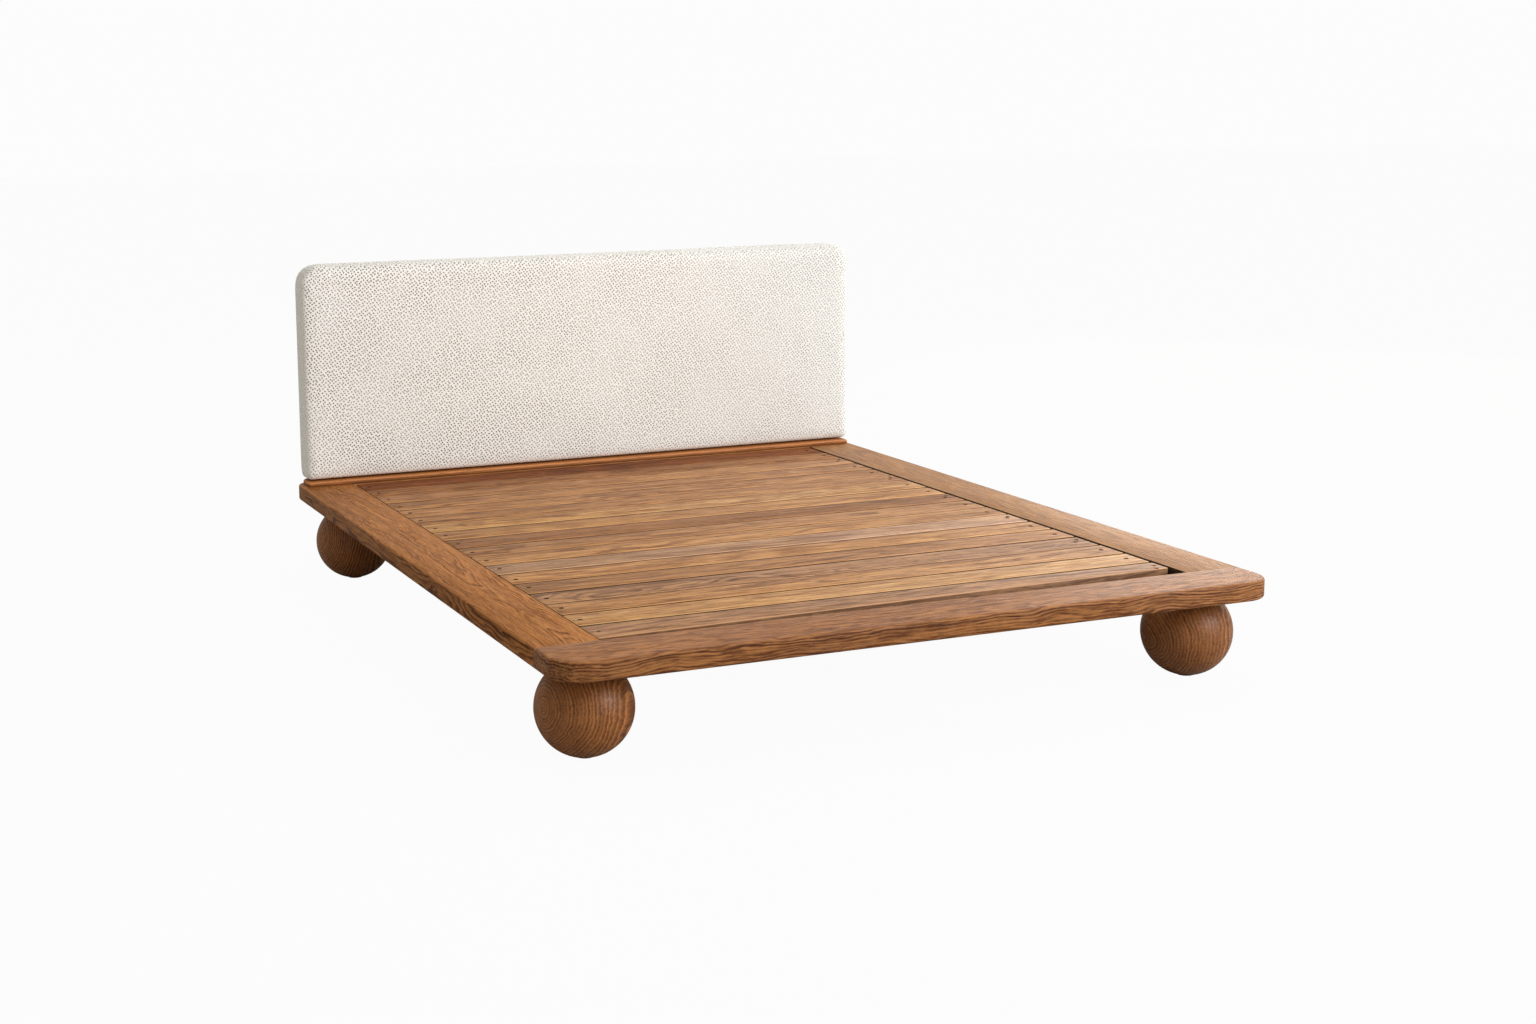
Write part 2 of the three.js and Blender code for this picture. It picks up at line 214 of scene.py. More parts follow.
def wood(name, light, dark, line, grain="X", pith=(0.0, 0.0, 0.0), axis=None, ring=0.006,
         wander=0.010, wave=1.6, late=0.5, seed=0.0, roughness=0.52, relief=0.00035, streak=0.4,
         flecks=0.3, fleck_size=(11.0, 110.0), thread=0.0, calm=0.5, rim=0.0, painted_gap_shade=None, flow=1.6,
         gloss=0.3, tint=0.0, fibres=0.36, painted_end_light=None):
    """Sawn from a log whose rings run round a line along grain (or axis) through pith.

    light, dark, line: the ground's two tones and the deepest lines.
    ring: width of a year ring; wander, flow: how far and how often the rings drift along the board;
    wave: how uneven they are; late: how strongly the dark part of a ring shows; thread: pale threads
    between the rings. streak, flecks (fleck_size: per metre along and across) and fibres: strength of
    the marks drawn out along the grain. tint: golden and rosy patches. rim: painted highlight, lighter
    arrises where the rounded edges catch the light. calm quietens the figure on faces that look up.
    shut=(axis, sign, depth): painted shade, which darkens the faces that look along an axis, or with
    axis None all the upright ones, as shade falls in the gaps between the boards. fade=(left, right):
    painted light, the colours that the two ends of a board are multiplied by, for light and sheen that
    fall unevenly along it."""
    material, g = new_material(name)
    place = g.vector("SUBTRACT", g.place(), pith)
    forward = Vector(axis or {"X": (1, 0, 0), "Y": (0, 1, 0), "Z": (0, 0, 1)}[grain]).normalized()
    other = Vector((0, 0, 1)) if abs(forward.z) < 0.9 else Vector((0, 1, 0))
    sideways = forward.cross(other).normalized()
    upward = sideways.cross(forward)
    along, across, through = (g.vector("DOT_PRODUCT", place, tuple(v)) for v in (forward, sideways, upward))
    # slow drift of the rings along the board
    drift = g.noise(g.combine(g.mul(along, flow), g.mul(across, 7.0), g.add(g.mul(through, 7.0), seed)),
                    1.0, 2.0, 0.45, "Color")
    drift = g.parts(g.vector("SUBTRACT", drift, (0.5, 0.5, 0.5)))
    a = g.add(across, g.mul(drift[0], wander * 8))
    b = g.add(through, g.mul(drift[1], wander * 8))
    radius = g.vector("LENGTH", g.combine(a, b, 0.0))
    wobble = g.noise(g.combine(g.mul(along, 11.0), g.mul(across, 55.0), g.mul(through, 55.0)), 1.0, 2.0)
    count = g.add(g.math("DIVIDE", radius, ring), g.mul(wobble, wave))
    phase = g.math("FRACT", count)
    pick = g.node("ShaderNodeTexWhiteNoise", {"W": g.add(g.math("FLOOR", count), seed)},
                  noise_dimensions="1D").outputs[0]
    strength = g.smooth(pick, 0.0, 1.0, 0.25, 1.0)
    latewood = g.mul(g.mul(g.smooth(phase, 0.35, 0.80), g.smooth(phase, 0.84, 1.0, 1.0, 0.0)), strength)
    earlywood = g.mul(g.mul(g.smooth(phase, 0.0, 0.08), g.smooth(phase, 0.12, 0.36, 1.0, 0.0)), strength)
    # fibres, flecks, streaks and pores, all drawn out along the grain, and a slow cloudiness
    fibre = g.noise(g.combine(g.mul(along, 14.0), g.mul(a, 330.0), g.mul(b, 330.0)), 1.0, 3.0, 0.7)
    fibre = g.smooth(fibre, 0.30, 0.70)
    fleck = g.noise(g.combine(g.mul(along, fleck_size[0]), g.mul(a, fleck_size[1]),
                              g.add(g.mul(b, fleck_size[1]), seed * 1.7)), 1.0, 2.0, 0.6)
    fleck = g.smooth(fleck, 0.36, 0.64)
    bands = g.noise(g.combine(g.mul(along, 1.6), g.mul(a, 42.0), g.add(g.mul(b, 42.0), seed * 3.1)),
                    1.0, 3.0, 0.65)
    bands = g.smooth(bands, 0.32, 0.68)
    pores = g.noise(g.combine(g.mul(along, 45.0), g.mul(across, 620.0), g.mul(through, 620.0)), 1.0, 1.0)
    pores = g.smooth(pores, 0.58, 0.70)
    cloud = g.smooth(g.noise(g.vector("ADD", g.place(), (seed, seed * 0.7, 0.0)), 2.3, 2.0, 0.5), 0.3, 0.7)

    facing = g.parts(g.normal())
    quiet = g.smooth(facing[2], 0.75, 0.97, 1.0, 1.0 - calm)
    figure = g.sub(g.mul(latewood, late), g.mul(earlywood, late * 0.35))
    tone = g.add(g.mul(figure, quiet), g.mul(g.sub(bands, 0.5), g.mul(quiet, streak)))
    tone = g.add(tone, g.mul(g.sub(fibre, 0.5), fibres))
    tone = g.add(tone, g.mul(g.sub(fleck, 0.5), flecks))
    tone = g.add(tone, g.mul(g.sub(cloud, 0.5), 0.2))
    base_tone = g.smooth(facing[2], 0.75, 0.97, 0.40, 0.40 - 0.20 * calm)
    tone = g.math("ADD", tone, base_tone, clamp=True)
    colour = g.mix(tone, light, dark)
    deep = g.mul(g.mul(latewood, g.smooth(fibre, 0.35, 0.9, 0.35, 1.0)), quiet)
    colour = g.mix(g.math("MULTIPLY", deep, late, clamp=True), colour, line)
    colour = g.mix(g.mul(g.mul(pores, 0.5), quiet), colour, line)
    if thread:
        show = g.mul(g.mul(earlywood, thread), g.smooth(fibre, 0.2, 0.8, 1.0, 0.4))
        colour = g.mix(show, colour, brighter(light, 1.4))
    if tint:
        patch = g.noise(g.combine(g.mul(along, 4.0), g.mul(a, 34.0), g.add(g.mul(b, 34.0), seed * 2.3)),
                        1.0, 2.0, 0.6)
        patched = g.mix(g.smooth(patch, 0.38, 0.62), g.tinted(colour, ROSY), g.tinted(colour, GOLDEN))
        colour = g.mix(tint, colour, patched)
    # painted light: the board darker toward one end and paler, cooler toward the other, for the light and
    # sheen along it
    if painted_end_light:
        from_left = g.smooth(g.parts(g.place())[0], -0.65, 0.65)
        colour = g.tinted(colour, g.mix(from_left, *painted_end_light))
    # painted highlight: the rounded arrises are lightened, as where they catch the light
    if rim:
        edge_highlight = g.mul(g.smooth(facing[2], 0.15, 0.45), g.smooth(facing[2], 0.85, 0.985, 1.0, 0.0))
        colour = g.mix(g.mul(edge_highlight, rim), colour, brighter(light, 1.35))
    # painted shade: faces turned into the gaps between the boards are darkened toward SHADOW
    if painted_gap_shade:
        side, sign, depth = painted_gap_shade
        if side is None:
            gap_shade_mask = g.smooth(g.math("ABSOLUTE", facing[2]), 0.25, 0.80, 1.0, 0.0)
        else:
            gap_shade_mask = g.smooth(g.mul(facing[side], sign), 0.5, 0.9)
        colour = g.mix(g.mul(gap_shade_mask, depth), colour, SHADOW)
    height = g.sub(g.add(g.mul(fibre, 0.6), g.mul(latewood, 0.5)), g.mul(pores, 0.5))
    rough = g.math("ADD", g.mul(g.sub(fibre, 0.5), 0.16), roughness, clamp=True)
    shader = g.surface(Base_Color=colour, Roughness=rough, Normal=g.bump(height, relief))
    shader.inputs["Specular IOR Level"].default_value = gloss
    return material


# sRGB colours of the stained finish: light ground, dark ground, deepest line
RAIL_TONES = (srgb(175, 118, 67), srgb(115, 69, 33), srgb(63, 32, 12))
FOOT_TONES = (srgb(163, 110, 65), srgb(101, 58, 28), srgb(56, 26, 10))
# the right side rail is paler and yellower than the others: painted sheen, for the highlight the lights on
# the right lay on it
RIGHT_TONES = (srgb(167, 121, 76), srgb(116, 75, 41), srgb(68, 38, 18))
SLAT_TONES = {
    "pale": (srgb(200, 154, 103), srgb(132, 86, 45), srgb(84, 47, 21)),
    "honey": (srgb(192, 141, 91), srgb(120, 75, 38), srgb(77, 42, 18)),
    "tan": (srgb(181, 131, 86), srgb(110, 67, 36), srgb(72, 38, 18)),
    "rose": (srgb(177, 133, 97), srgb(108, 69, 44), srgb(72, 42, 25)),
    "umber": (srgb(162, 112, 70), srgb(95, 55, 28), srgb(62, 32, 14)),
    "grey": (srgb(196, 154, 120), srgb(126, 86, 60), srgb(82, 50, 31)),
    # the "shade" tones are painted shadow: the dark band that the ledge casts over the last slat
    "shade": (srgb(130, 72, 31), srgb(70, 33, 11), srgb(47, 21, 7)),
}
BALL_TONES = (srgb(160, 104, 59), srgb(102, 58, 27), srgb(54, 27, 10))
LEDGE_TONES = (srgb(176, 112, 58), srgb(128, 74, 33), srgb(76, 39, 14))
PINE_TONES = (srgb(226, 190, 138), srgb(196, 150, 96), srgb(150, 100, 56))
PLY_TONES = (srgb(222, 194, 150), srgb(186, 150, 104), srgb(140, 100, 62))


def steel(name, colour, metallic, roughness, speckle=0.12):
    """Painted or plated steel with a fine speckle and slow clouds."""
    material, g = new_material(name)
    place = g.place()
    fine = g.noise(place, 900.0, 3.0, 0.6)
    cloud = g.noise(place, 14.0, 3.0, 0.6)
    shade = g.add(g.mul(g.sub(fine, 0.5), speckle), g.mul(g.sub(cloud, 0.5), speckle * 1.4))
    base = g.mix(g.math("ADD", shade, 0.25, clamp=True), colour, brighter(colour, 0.55))
    rough = g.math("ADD", g.mul(g.sub(cloud, 0.5), 0.25), roughness, clamp=True)
    g.surface(Base_Color=base, Metallic=metallic, Roughness=rough, Normal=g.bump(fine, 0.00008))
    return material


def on_three_sides(g, place, draw):
    """draw(u, v) seen from the front, a side and above, chosen by the way the surface faces."""
    x, y, z = g.parts(place)
    nx, ny, nz = g.parts(g.vector("ABSOLUTE", g.normal()))
    front, side, top = draw(x, z), draw(y, z), draw(x, y)
    to_side = g.smooth(g.sub(nx, ny), -0.08, 0.08)
    to_top = g.smooth(g.sub(nz, g.math("MAXIMUM", nx, ny)), -0.08, 0.08)

    def blend(f, a, b):
        return g.add(g.mul(a, g.sub(1.0, f)), g.mul(b, f))
    return blend(to_top, blend(to_side, front, side), top)


LOOP_PITCH, LOOP_SWAY = 0.0089, 0.0065


def boucle(name, ground, pit_shade, yarn):
    """Nubby cloth: small loops with darker pits between them, painted shade in the hollows, in loose
    slanting rows.
    """
    material, g = new_material(name)
    place = g.place()
    sway = g.vector("SUBTRACT", g.noise(place, 26.0, 2.0, 0.5, "Color"), (0.5, 0.5, 0.5))
    swayed = g.vector("ADD", place, g.vector("MULTIPLY", sway, (LOOP_SWAY,) * 3))

    def draw(u, v):
        slanted = g.combine(g.add(g.mul(u, 0.82), g.mul(v, 0.57)),
                            g.sub(g.mul(v, 0.82), g.mul(u, 0.57)), 0.0)
        return g.node("ShaderNodeTexVoronoi",
                      {"Vector": slanted, "Scale": 1.0 / LOOP_PITCH, "Randomness": 0.38},
                      voronoi_dimensions="2D", feature="F1").outputs["Distance"]

    cells = on_three_sides(g, swayed, draw)
    yarn_noise = g.noise(place, 620.0, 3.0, 0.6)
    patch = g.noise(place, 7.0, 3.0, 0.6)
    loops = g.smooth(cells, 0.16, 0.34)
    # painted light: the pits' painted shade is made fainter on the left end face and the underside, which
    # lifts those shaded faces, and fainter along the front toward the right
    facing = g.parts(g.normal())
    from_left = g.smooth(g.parts(place)[0], -0.6, 0.95)
    pit_shade_amount = g.mul(g.smooth(facing[0], -0.9, -0.3, 0.35, 1.0),
                       g.smooth(facing[2], -0.6, -0.05, 0.4, 1.0))
    pit_shade_amount = g.mul(pit_shade_amount, g.sub(1.0, g.mul(from_left, 0.40)))
    depth = g.mul(g.mul(g.sub(1.0, loops), pit_shade_amount), g.smooth(patch, 0.35, 0.65, 0.75, 1.1))
    colour = g.mix(g.smooth(yarn_noise, 0.3, 0.75), ground, yarn)
    colour = g.mix(g.math("MULTIPLY", depth, 0.95, clamp=True), colour, pit_shade)
    # painted shade: the faces that look up are darkened, against the light from above
    colour = g.mix(g.smooth(facing[2], 0.0, 0.65, 0.0, 0.88), colour,
                   g.tinted(colour, (0.69, 0.68, 0.67, 1.0)))
    # painted shade: a little darker and greyer toward the right end, where the key light from the right
    # falls more strongly
    colour = g.tinted(colour, g.mix(g.mul(from_left, from_left), (1.0, 1.0, 1.0, 1.0),
                                    (0.89, 0.905, 0.91, 1.0)))
    height = g.add(loops, g.mul(yarn_noise, 0.35))
    shader = g.surface(Base_Color=colour, Roughness=0.93, Normal=g.bump(height, 0.0011, 0.85))
    shader.inputs["Sheen Weight"].default_value = 0.25
    shader.inputs["Sheen Roughness"].default_value = 0.5
    shader.inputs["Specular IOR Level"].default_value = 0.2
    return material


def fleece(name, colour, second, grain):
    """Pressed fibre: felt or non-woven cloth."""
    material, g = new_material(name)
    place = g.place()
    fine = g.noise(place, grain, 4.0, 0.7)
    cells = g.node("ShaderNodeTexVoronoi", {"Vector": place, "Scale": grain * 0.4}).outputs["Distance"]
    base = g.mix(g.math("MULTIPLY", g.add(fine, cells), 0.6, clamp=True), colour, second)
    g.surface(Base_Color=base, Roughness=0.96, Normal=g.bump(fine, 0.0004))
    return material


BLACK_STEEL = steel("black_steel", srgb(38, 37, 36), 0.35, 0.48)
ZINC = steel("zinc_steel", srgb(186, 188, 190), 1.0, 0.36, 0.25)
DARK_SCREW = steel("dark_screw", srgb(34, 29, 25), 0.3, 0.5)
FABRIC = boucle("upholstery", srgb(251, 252, 252), srgb(132, 124, 112), srgb(243, 242, 239))
FELT = fleece("felt", srgb(70, 62, 54), srgb(44, 38, 34), 900.0)
DUST_CLOTH = fleece("dust_cloth", srgb(40, 39, 39), srgb(24, 24, 25), 500.0)
FLOOR_WHITE, FLOOR_SHADOW, BACKGROUND = 0.960, 0.012, 0.9734
FLOOR_BOUNCE = (0.45, 0.44, 0.43, 1.0)
FLOOR_HALF, FLOOR_BELOW = 30.0, 0.0005


# ---------------------------------------------------------------- mesh helpers
def make_object(name, mesh, material, body="frame", stands_for=()):
    piece = bpy.data.objects.new(name, mesh)
    bpy.context.scene.collection.objects.link(piece)
    mesh.materials.clear()
    mesh.materials.append(material)
    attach(piece, body)
    if stands_for:
        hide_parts(*stands_for)
    return piece


SHARP_ANGLE = math.radians(40.0)
SOFT_ANGLE = math.radians(35.0)


def mesh_from(bm, name, sharp_angle=SHARP_ANGLE):
    bmesh.ops.recalc_face_normals(bm, faces=bm.faces)
    mesh = bpy.data.meshes.new(name)
    bm.to_mesh(mesh)
    bm.free()
    mesh.shade_smooth()
    mesh.set_sharp_from_angle(angle=sharp_angle)
    return mesh


def apply_modifiers(piece):
    bpy.context.view_layer.update()
    evaluated = piece.evaluated_get(bpy.context.evaluated_depsgraph_get())
    mesh = bpy.data.meshes.new_from_object(evaluated)
    piece.modifiers.clear()
    old = piece.data
    piece.data = mesh
    bpy.data.meshes.remove(old)


def rounded_outline(low, high, radii, steps=14):
    """Points round a rectangle, anticlockwise from its low corner, one radius for each corner."""
    (u0, v0), (u1, v1) = low, high
    centres = [(u0 + radii[0], v0 + radii[0], 180), (u1 - radii[1], v0 + radii[1], 270),
               (u1 - radii[2], v1 - radii[2], 0), (u0 + radii[3], v1 - radii[3], 90)]
    points = []
    for (cu, cv, start), r in zip(centres, radii):
        for i in range(steps + 1):
            angle = math.radians(start + 90.0 * i / steps)
            points.append((cu + r * math.cos(angle), cv + r * math.sin(angle)))
    return points


def rounded_slab(low, high, radii, bottom, top, edge, steps=14, rim_steps=6, top_edge=None):
    """Solid with a rounded outline and both rims rounded by edge, or the upper one by top_edge."""
    bm = bmesh.new()
    upper_edge = edge if top_edge is None else top_edge
    turns = [0.5 * math.pi * i / rim_steps for i in range(rim_steps + 1)]
    levels = [(edge * (1 - math.sin(t)), bottom + edge * (1 - math.cos(t))) for t in turns]
    levels += [(upper_edge * (1 - math.sin(t)), top - upper_edge * (1 - math.cos(t)))
               for t in reversed(turns)]
    rings = []
    for inset, z in levels:
        outline = rounded_outline([c + inset for c in low], [c - inset for c in high],
                                  [max(r - inset, 1e-4) for r in radii], steps)
        rings.append([bm.verts.new((u, v, z)) for u, v in outline])
    for lower, upper in zip(rings, rings[1:]):
        for i in range(len(lower)):
            j = (i + 1) % len(lower)
            bm.faces.new((lower[i], lower[j], upper[j], upper[i]))
    bm.faces.new(list(reversed(rings[0])))
    bm.faces.new(rings[-1])
    return bm


def slice_off(bm, point, direction):
    """Cuts away what lies beyond the plane and closes the cut."""
    cut = bmesh.ops.bisect_plane(bm, geom=bm.verts[:] + bm.edges[:] + bm.faces[:], plane_co=point,
                                 plane_no=direction, clear_outer=True, dist=1e-6)
    edges = [e for e in cut["geom_cut"] if isinstance(e, bmesh.types.BMEdge)]
    bmesh.ops.contextual_create(bm, geom=edges)


def ease(bm, width, least=50.0, segments=2):
    """Softens every arris sharper than least degrees."""
    sharp = [e for e in bm.edges if len(e.link_faces) == 2
             and e.calc_face_angle(0.0) > math.radians(least)]
    bmesh.ops.bevel(bm, geom=sharp, offset=width, segments=segments, profile=0.5,
                    affect="EDGES", clamp_overlap=True)


def cut_with(piece, cutters):
    """Boolean subtraction, applied."""
    for cutter in cutters:
        modifier = piece.modifiers.new("cut", "BOOLEAN")
        modifier.operation = "DIFFERENCE"
        modifier.solver = "EXACT"
        modifier.object = cutter
    apply_modifiers(piece)
    piece.data.shade_smooth()
    piece.data.set_sharp_from_angle(angle=SHARP_ANGLE)


def helper(name, bm):
    """A passing object, such as a cutter, that drop() removes again."""
    mesh = mesh_from(bm, name)
    tool = bpy.data.objects.new(name, mesh)
    bpy.context.scene.collection.objects.link(tool)
    return tool


def drop(objects):
    for o in objects:
        mesh = o.data
        bpy.data.objects.remove(o)
        bpy.data.meshes.remove(mesh)


def turned(profile, centre, sides=32, axis="Z"):
    """Lathe of (radius, height) points about an axis through centre."""
    bm = bmesh.new()
    rings = []
    for r, h in profile:
        if r < 1e-7:
            rings.append([bm.verts.new((0, 0, h))])
        else:
            rings.append([bm.verts.new((r * math.cos(2 * math.pi * i / sides),
                                        r * math.sin(2 * math.pi * i / sides), h)) for i in range(sides)])
    for lower, upper in zip(rings, rings[1:]):
        for i in range(sides):
            j = (i + 1) % sides
            if len(lower) == 1 and len(upper) > 1:
                bm.faces.new((lower[0], upper[j], upper[i]))
            elif len(upper) == 1 and len(lower) > 1:
                bm.faces.new((lower[i], lower[j], upper[0]))
            elif len(lower) > 1:
                bm.faces.new((lower[i], lower[j], upper[j], upper[i]))
    turn = {"Z": Matrix.Identity(4), "-Z": Matrix.Rotation(math.pi, 4, "X"),
            "Y": Matrix.Rotation(-math.pi / 2, 4, "X"), "-Y": Matrix.Rotation(math.pi / 2, 4, "X"),
            "X": Matrix.Rotation(math.pi / 2, 4, "Y"), "-X": Matrix.Rotation(-math.pi / 2, 4, "Y")}[axis]
    bm.transform(Matrix.Translation(centre) @ turn)
    return bm


def block(centre, size):
    """Box of that size about centre."""
    bm = bmesh.new()
    bmesh.ops.create_cube(bm, size=1.0)
    bm.transform(Matrix.Translation(centre) @ Matrix.Diagonal((*size, 1.0)))
    return bm


def combined(parts):
    """One bmesh of several, which are freed."""
    whole = bmesh.new()
    for part in parts:
        scratch = bpy.data.meshes.new("scratch")
        part.to_mesh(scratch)
        part.free()
        whole.from_mesh(scratch)
        bpy.data.meshes.remove(scratch)
    return whole


# ---------------------------------------------------------------- dimensions from the frame
rail_low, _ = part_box("foot_rail")
_, rail_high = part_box("head_rail")
UNDERSIDE, TOP = rail_low.z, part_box("side_rail_left")[1].z
FOOT_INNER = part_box("foot_rail")[1].y
HEAD_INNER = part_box("head_rail")[0].y
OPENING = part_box("side_rail_right")[0].x
JOINT = 0.0003            # hairline between two rails
PLAY = 0.0003             # room round a let-in piece
THROUGH = 0.01            # how far a cutter stands past the face it opens
FOOT_RADIUS, HEAD_RADIUS, RIM, RAIL_EASE = 0.080, 0.040, 0.007, 0.0012
PLATE_CORNER = 0.0143

CORNERS = [("front", "left"), ("front", "right"), ("rear", "left"), ("rear", "right")]


# ---------------------------------------------------------------- rails
def rail_board(planes):
    """The whole frame's outline as one slab, cut down to one rail."""
    bm = rounded_slab((rail_low.x, rail_low.y), (rail_high.x, rail_high.y),
                      (FOOT_RADIUS, FOOT_RADIUS, HEAD_RADIUS, HEAD_RADIUS), UNDERSIDE, TOP, RIM)
    for point, direction in planes:
        slice_off(bm, point, direction)
    bmesh.ops.remove_doubles(bm, verts=bm.verts, dist=1e-6)
    ease(bm, RAIL_EASE, 60.0)
    return bm


SIDE_ENDS = [((0, FOOT_INNER + JOINT, 0), (0, -1, 0)), ((0, HEAD_INNER - JOINT, 0), (0, 1, 0))]
# where each rail is cut from the outline, its tones and its figure
RAILS = {
    "foot_rail": ([((0, FOOT_INNER, 0), (0, 1, 0))], FOOT_TONES,
                  dict(grain="X", pith=(0.2, -1.10, 0.41), ring=0.0074, wander=0.0060, wave=1.8, late=1.0,
                       streak=0.42, flecks=0.62, fleck_size=(12.0, 125.0), seed=3.0, calm=0.42, flow=4.5,
                       fibres=0.5, gloss=0.16, rim=0.10)),
    "head_rail": ([((0, HEAD_INNER, 0), (0, -1, 0))], RAIL_TONES,
                  dict(grain="X", pith=(0.0, 1.10, 0.12), ring=0.005, late=0.6, seed=8.0)),
    # painted shade: each side rail's inner face is darkened almost to black, like the shaded gap beside the
    # slats
    "side_rail_left": (SIDE_ENDS + [((-OPENING, 0, 0), (1, 0, 0))], RAIL_TONES,
                       dict(grain="Y", pith=(-0.838, 0.0, 0.215), ring=0.0048, wander=0.009, wave=2.0,
                            late=0.85, flecks=0.35, seed=14.0, calm=0.25, painted_gap_shade=(0, 1, 0.95),
                            gloss=0.05)),
    "side_rail_right": (SIDE_ENDS + [((OPENING, 0, 0), (-1, 0, 0))], RIGHT_TONES,
                        dict(grain="Y", pith=(0.86, 0.0, 0.19), ring=0.0065, wander=0.008, late=0.7,
                             seed=21.0, flecks=0.45, calm=0.4, painted_gap_shade=(0, -1, 0.95))),
}

cutters = []
for end, side in CORNERS:
    low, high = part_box(f"foot_plate_{end}_{side}")
    outline = rounded_slab((low.x - PLAY, low.y - PLAY), (high.x + PLAY, high.y + PLAY),
                           (PLATE_CORNER,) * 4, UNDERSIDE - THROUGH, high.z + PLAY, 0.0, 6, 1)
    cutters.append(helper("plate_cutter", outline))
for side in ("left", "right"):
    low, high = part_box(f"headboard_strap_{side}")
    outline = rounded_slab((low.x - PLAY, low.y - PLAY), (high.x + PLAY, high.y + THROUGH),
                           (0.0001,) * 4, low.z - PLAY, TOP + THROUGH, 0.0, 1, 1)
    cutters.append(helper("strap_cutter", outline))

for name, (planes, tones, figure) in RAILS.items():
    # painted highlight along each rail's rounded arrises, unless the rail sets its own
    figure.setdefault("rim", 0.35)
    material = wood(f"oak_{name}", *tones, roughness=0.5, tint=0.5, **figure)
    board = make_object(f"board_{name}", mesh_from(rail_board(planes), name), material,
                        stands_for=(name,))
    cut_with(board, cutters)
drop(cutters)


# ---------------------------------------------------------------- screws
def screw_head(place, radius):
    """Countersunk head, its face at place, with a round socket."""
    socket, socket_depth = radius * 0.42, 0.00156
    return turned([(0.0, -socket_depth), (socket * 0.9, -socket_depth), (socket, 0.0), (radius * 0.93, 0.0),
                   (radius, -0.0002), (radius * 0.55, -radius * 0.55), (0.0, -radius * 0.55)], place, 24)


# ---------------------------------------------------------------- slats
SLAT_ORDER = ["rose", "pale", "honey", "rose", "tan", "honey", "grey", "honey", "tan", "umber",
              "honey", "pale", "tan", "tan", "tan", "tan", "umber", "shade"]
# painted shade: how far each slat darkens toward its left end (a number above 1 lightens it instead)
SLAT_PAINTED_END_LIGHT = [1.0, 1.0, 0.95, 0.92, 0.84, 1.0, 0.79, 0.93, 0.86,
              0.90, 0.88, 1.0, 0.92, 1.0, 0.95, 1.07, 1.0, 0.95]
SLAT_EASE = 0.0028
SLAT_DROP, SLAT_GAP = 0.0007, (0.0008, 0.0017)   # how unevenly the slats lie
SLAT_END_GAP = 0.0016                            # added at the left end
SCREW_LEFT, SCREW_RIGHT = 0.021, 0.032           # from the slat's ends
SECOND_SCREW = (0.012, 0.022)                    # from the first, on every third slat
SCREW_RADIUS, SCREW_SINK = 0.0056, 0.0026
SCREW_HOLE = [(0, -0.010), (0.0052, -0.010), (0.0056, -SCREW_SINK), (0.0070, 0.0006), (0, 0.0006)]
screws = []
for i, (tone, painted_end_light) in enumerate(zip(SLAT_ORDER, SLAT_PAINTED_END_LIGHT)):
    name = f"slat_{i + 1:02d}"
    low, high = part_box(name)
    drop_by = random.uniform(0.0, SLAT_DROP)
    front_gap, back_gap = random.uniform(*SLAT_GAP), random.uniform(*SLAT_GAP)
    low.x += SLAT_END_GAP
    size = Vector((high.x - low.x, high.y - low.y - front_gap - back_gap, high.z - low.z - drop_by))
    centre = Vector(((high.x + low.x) / 2, (high.y + low.y + front_gap - back_gap) / 2,
                     low.z + size.z / 2))
    bm = block(centre, size)
    # the front edge follows the CAD slat, since the first one is tapered
    for v in bm.verts:
        if v.co.y < centre.y:
            v.co.y = min(c.co.y for c in nodes[name].data.vertices if c.co.x * v.co.x > 0) + front_gap
    ease(bm, SLAT_EASE, 60.0, 3)
    top = low.z + size.z
    holes = []
    for x, spread in ((low.x + SCREW_LEFT, 0.003), (high.x - SCREW_RIGHT, 0.005)):
        spots = [(x + random.uniform(-spread, spread), centre.y + random.uniform(-0.008, 0.008))]
        if x > 0 and i % 3 == 0:
            spots.append((x + SECOND_SCREW[0], centre.y + SECOND_SCREW[1]))
        for sx, sy in spots:
            holes.append(helper("hole", turned(SCREW_HOLE, (sx, sy, top), 20)))
            screws.append(screw_head((sx, sy, top - SCREW_SINK + 0.0004), SCREW_RADIUS))
    # painted shade: the upright faces are darkened almost to black as in the shaded gaps, the first slat's
    # front face less; painted highlight on the arrises; and painted light along each slat, darker toward
    # its left end and paler, cooler toward its right
    material = wood(f"oak_{name}", *SLAT_TONES[tone], grain="X", ring=random.uniform(0.0045, 0.008),
                    pith=(random.uniform(-1, 1), centre.y + random.uniform(-0.05, 0.05),
                          random.choice((0.19, 0.20, 0.31, 0.34))),
                    wander=random.uniform(0.006, 0.012), late=random.uniform(0.3, 0.55),
                    seed=31.0 + 2.7 * i, roughness=0.55, streak=0.46, flecks=0.60,
                    fleck_size=(7.0, 92.0), calm=0.0, rim=0.8, fibres=0.5,
                    painted_gap_shade=(None, 0, 0.93 if i else 0.35), tint=0.55, gloss=0.12 if i > 15 else 0.22,
                    painted_end_light=((painted_end_light, 0.98 * painted_end_light, 0.86 * painted_end_light, 1.0), (1.0, 1.05, 1.11, 1.0)))
    board = make_object(f"board_{name}", mesh_from(bm, name), material, stands_for=(name,))
    cut_with(board, holes)
    drop(holes)
make_object("slat_screws", mesh_from(combined(screws), "slat_screws"), DARK_SCREW)

# ---------------------------------------------------------------- ball feet
BALL_RADIUS = 0.112
STUD_BORE = 0.0063
ARC_STEPS = 48
